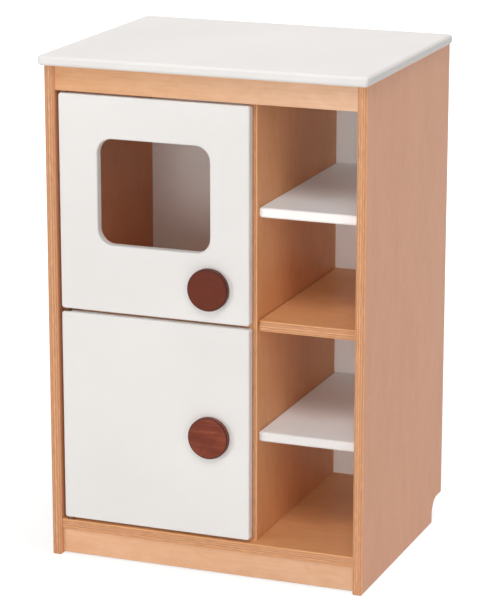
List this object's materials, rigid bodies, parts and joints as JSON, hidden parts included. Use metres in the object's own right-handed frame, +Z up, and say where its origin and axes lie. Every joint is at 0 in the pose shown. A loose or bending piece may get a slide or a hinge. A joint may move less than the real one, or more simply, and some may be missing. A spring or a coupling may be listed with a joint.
{
  "type": "toy microwave",
  "caption": "Free-standing play-kitchen cupboard with an open-window microwave door over a plain door, disc knobs, and an open column of shelves under a white worktop.",
  "frame": {"origin": "on the floor, under the middle of the worktop", "axes": "+Z up, +X to the right seen from the front, the doors face -Y"},
  "size_m": [0.483, 0.384, 0.734],
  "materials": {
    "plywood": "clear satin lacquer on birch plywood",
    "white_board": "white satin lacquer on fibreboard",
    "knob_wood": "brown stained wood, satin",
    "dowel_beech": "bare beech",
    "zinc_steel": "bright zinc plate",
    "nylon": "brown nylon",
    "ferrite": "dark grey sintered magnet"
  },
  "bodies": {
    "cabinet": {"left_side_panel": "plywood", "right_side_panel": "plywood", "divider": "plywood", "floor_panel": "plywood", "microwave_floor": "plywood", "middle_shelf": "plywood", "top_rail": "plywood", "rear_rail": "plywood", "plinth": "plywood", "worktop": "white_board", "upper_loose_shelf": "white_board", "lower_loose_shelf": "white_board", "back_panel": "white_board", "worktop_dowels": "dowel_beech", "divider_dowels": "dowel_beech", "floor_dowels": "dowel_beech", "shelf_dowels": "dowel_beech", "through_dowels": "dowel_beech", "rail_dowels": "dowel_beech", "plinth_dowels": "dowel_beech", "upper_shelf_pins": "zinc_steel", "lower_shelf_pins": "zinc_steel", "back_panel_screws": "zinc_steel", "centre_pivot_plate": "zinc_steel", "centre_pivot_pin": "zinc_steel", "centre_plate_screws": "zinc_steel", "microwave_catch_screws": "zinc_steel", "cupboard_catch_screws": "zinc_steel", "rail_pivot_bush": "nylon", "floor_pivot_bush": "nylon", "microwave_catch_housing": "nylon", "cupboard_catch_housing": "nylon", "microwave_catch_magnet": "ferrite", "cupboard_catch_magnet": "ferrite"},
    "microwave_door": {"microwave_door": "white_board", "microwave_knob": "knob_wood", "microwave_knob_screw": "zinc_steel", "microwave_pivot_pin": "zinc_steel", "microwave_pivot_bush": "nylon", "microwave_strike_plate": "zinc_steel", "microwave_strike_screws": "zinc_steel"},
    "cupboard_door": {"cupboard_door": "white_board", "cupboard_knob": "knob_wood", "cupboard_knob_screw": "zinc_steel", "cupboard_pivot_pin": "zinc_steel", "cupboard_pivot_bush": "nylon", "cupboard_strike_plate": "zinc_steel", "cupboard_strike_screws": "zinc_steel"}
  },
  "joints": [
    {"name": "microwave_door_hinge", "type": "hinge", "parent": "cabinet", "child": "microwave_door", "pos_m": [-0.211, -0.1675, 0.52587], "axis": [0, 0, -1], "range_deg": [0, 105]},
    {"name": "cupboard_door_hinge", "type": "hinge", "parent": "cabinet", "child": "cupboard_door", "pos_m": [-0.211, -0.1675, 0.21213], "axis": [0, 0, -1], "range_deg": [0, 105]}
  ]
}
